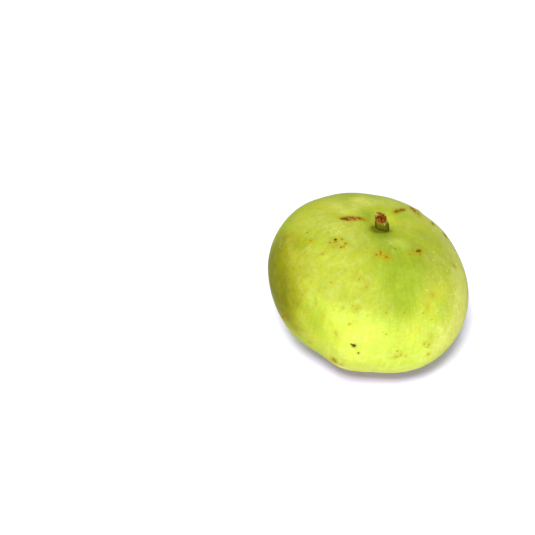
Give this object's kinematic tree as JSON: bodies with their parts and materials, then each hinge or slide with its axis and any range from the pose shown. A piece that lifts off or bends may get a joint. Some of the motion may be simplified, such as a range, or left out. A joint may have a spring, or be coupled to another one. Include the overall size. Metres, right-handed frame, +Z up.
{
  "type": "round gourd",
  "caption": "Small round green gourd, wider than tall, softly lobed round a shallow basin with a short cut stem; stands on its blossom end.",
  "frame": {"origin": "centre of the bounding box's bottom face, on the surface that the gourd stands on", "axes": "+Z up, from the surface towards the stem; +X to the right seen from the front; -Y towards the front"},
  "size_m": [0.0762, 0.07, 0.067],
  "materials": {
    "skin": "thin yellow-green rind with a faint bloom, mottled, satin, with small corky scars",
    "stem": "ribbed stalk, olive green below, torn and dry brown at its cut top",
    "dry_blossom": "dry, matt, dark brown crust"
  },
  "bodies": {
    "root": {"gourd_body": "skin", "stem": "stem", "blossom_scar": "dry_blossom"}
  },
  "joints": []
}
